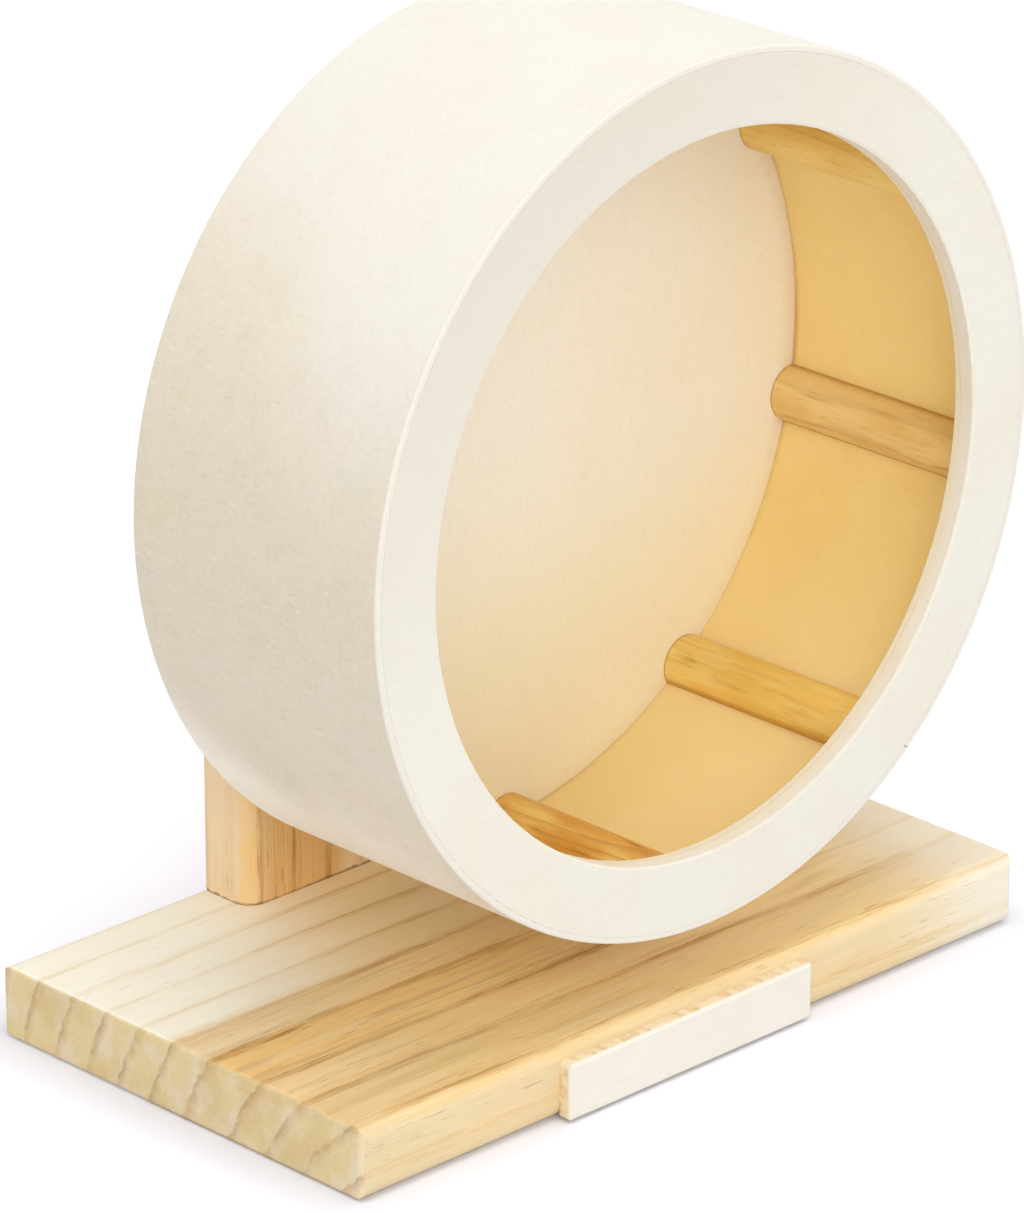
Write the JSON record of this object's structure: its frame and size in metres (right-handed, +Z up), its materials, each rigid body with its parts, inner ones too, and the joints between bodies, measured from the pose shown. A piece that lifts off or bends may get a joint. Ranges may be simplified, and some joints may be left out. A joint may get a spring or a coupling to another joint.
{
  "type": "rodent exercise wheel",
  "caption": "Free-standing wooden running wheel: an open-fronted plywood drum with rungs, turning on one axle carried from behind by an upright on a base board.",
  "frame": {"origin": "centre of the base board's underside, on the surface that the wheel stands on", "axes": "+Z up; +X along the base board's long side, to the right as seen from the open front; +Y from the open front towards the upright, along the axle"},
  "size_m": [0.213, 0.1255, 0.2415],
  "materials": {
    "pine_board": "planed and unvarnished",
    "pine_upright": "planed and unvarnished",
    "pine_hub": "turned and unvarnished",
    "pale_strip": "sanded",
    "bent_plywood": "sanded",
    "flat_plywood": "sanded",
    "rung_wood": "sanded",
    "zinc_steel": "zinc plated",
    "bearing_steel": "ground",
    "cage_nylon": "moulded",
    "insert_nylon": "moulded"
  },
  "bodies": {
    "stand": {"base_board": "pine_board", "upright": "pine_upright", "upright_screws": "zinc_steel", "front_plaque": "pale_strip", "bearing_outer_race": "bearing_steel", "bearing_front_shield": "bearing_steel", "bearing_rear_shield": "bearing_steel"},
    "wheel": {"drum_wall": "bent_plywood", "front_ring": "flat_plywood", "rear_disc": "flat_plywood", "rung_1": "rung_wood", "rung_2": "rung_wood", "rung_3": "rung_wood", "rung_4": "rung_wood", "rung_5": "rung_wood", "rung_6": "rung_wood", "rung_7": "rung_wood", "rung_8": "rung_wood", "rung_9": "rung_wood", "hub_block": "pine_hub", "axle_bolt": "zinc_steel", "spacer_sleeve": "zinc_steel", "bearing_inner_race": "bearing_steel", "axle_washer": "zinc_steel", "lock_nut": "zinc_steel", "nut_insert": "insert_nylon"},
    "ball_set": {"bearing_balls": "bearing_steel", "bearing_cage": "cage_nylon"}
  },
  "joints": [
    {"name": "wheel_spin", "type": "hinge", "parent": "stand", "child": "wheel", "pos_m": [0, 0.0465, 0.138], "axis": [0, 1, 0], "continuous": true},
    {"name": "ball_set_turn", "type": "hinge", "parent": "stand", "child": "ball_set", "pos_m": [0, 0.0465, 0.138], "axis": [0, 1, 0], "continuous": true}
  ],
  "couplings": [
    {"joint": "ball_set_turn", "follows": "wheel_spin", "ratio": 0.3677}
  ]
}
